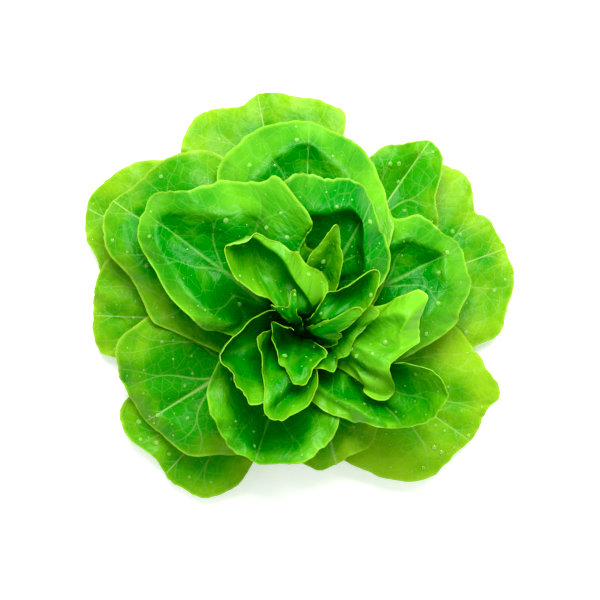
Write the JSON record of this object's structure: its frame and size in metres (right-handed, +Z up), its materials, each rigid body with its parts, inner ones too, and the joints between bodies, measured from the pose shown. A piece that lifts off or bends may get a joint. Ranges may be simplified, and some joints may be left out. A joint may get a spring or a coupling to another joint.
{
  "type": "butterhead lettuce",
  "caption": "Open head of butterhead lettuce: broad wavy leaves in a rosette around an upright heart, on a short cut stem that it stands on.",
  "frame": {"origin": "middle of the stem's cut face, on the surface that the head stands on", "axes": "+Z up along the stem into the heart, +Y towards the longest outer leaves, +X to the right of them seen from above"},
  "size_m": [0.2676, 0.2509, 0.1138],
  "materials": {
    "cut_stem": "pale green, moist cut stem",
    "outer_leaf": "yellow-green leaf with pale veins, satin",
    "middle_leaf": "deep green leaf with pale veins, satin to glossy",
    "heart_leaf": "fresh green leaf with a light rim, satin"
  },
  "bodies": {
    "root": {"stem": "cut_stem", "outer_leaf_01": "outer_leaf", "outer_leaf_02": "outer_leaf", "outer_leaf_03": "outer_leaf", "outer_leaf_04": "outer_leaf", "outer_leaf_05": "outer_leaf", "outer_leaf_06": "outer_leaf", "outer_leaf_07": "outer_leaf", "outer_leaf_08": "outer_leaf", "outer_leaf_09": "outer_leaf", "outer_leaf_10": "outer_leaf", "middle_leaf_01": "middle_leaf", "middle_leaf_02": "middle_leaf", "middle_leaf_03": "middle_leaf", "middle_leaf_04": "middle_leaf", "middle_leaf_05": "middle_leaf", "middle_leaf_06": "middle_leaf", "heart_leaf_01": "heart_leaf", "heart_leaf_02": "heart_leaf", "heart_leaf_03": "heart_leaf", "heart_leaf_04": "heart_leaf", "heart_leaf_05": "heart_leaf", "heart_leaf_06": "heart_leaf", "heart_leaf_07": "heart_leaf", "heart_leaf_08": "heart_leaf", "heart_leaf_09": "heart_leaf", "heart_leaf_10": "heart_leaf"}
  },
  "joints": []
}
